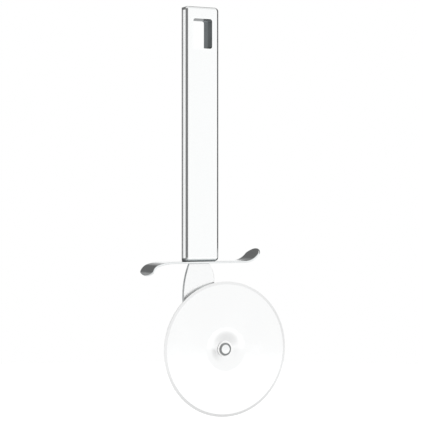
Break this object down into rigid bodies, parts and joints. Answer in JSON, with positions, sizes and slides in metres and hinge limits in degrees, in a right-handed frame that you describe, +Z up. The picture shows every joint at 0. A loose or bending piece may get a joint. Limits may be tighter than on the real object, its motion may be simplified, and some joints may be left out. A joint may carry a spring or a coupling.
{
  "type": "pizza cutter wheel",
  "caption": "Hand-held pizza cutter: a sharp disc spinning on an offset arm below a finger guard and a slim hollow steel handle with a hanging eye.",
  "frame": {"origin": "centre of the hanging eye, halfway through the handle's depth", "axes": "+Z up along the handle, away from the disc; +Y through the hanging eye and along the disc's axle, from the disc's side of the arm to the arm's side; +X towards the side that the disc is offset to"},
  "size_m": [0.0845, 0.0168, 0.2256],
  "materials": {
    "handle_steel": "satin stainless steel, very finely brushed along the handle",
    "eye_steel": "polished stainless steel",
    "cap_steel": "polished stainless steel",
    "inner_steel": "plain machined steel",
    "guard_steel": "polished stainless steel",
    "arm_steel": "satin stainless steel",
    "disc_steel": "mirror-like stainless steel with a ground bevel at the rim",
    "rivet_steel": "polished steel",
    "washer_plastic": "natural white plastic"
  },
  "bodies": {
    "handle": {"handle_front_shell": "handle_steel", "handle_back_shell": "handle_steel", "hanging_eye_liner": "eye_steel", "handle_base_cap": "cap_steel", "tang_block": "inner_steel", "tang_pins": "inner_steel", "finger_guard": "guard_steel", "wheel_arm": "arm_steel", "front_washer": "washer_plastic", "rear_washer": "washer_plastic", "axle_rivet": "rivet_steel", "rivet_burr": "rivet_steel"},
    "wheel": {"cutting_disc": "disc_steel"}
  },
  "joints": [
    {"name": "wheel_spin", "type": "hinge", "parent": "handle", "child": "wheel", "pos_m": [0.0151, 0, -0.1734], "axis": [0, 1, 0], "continuous": true}
  ]
}
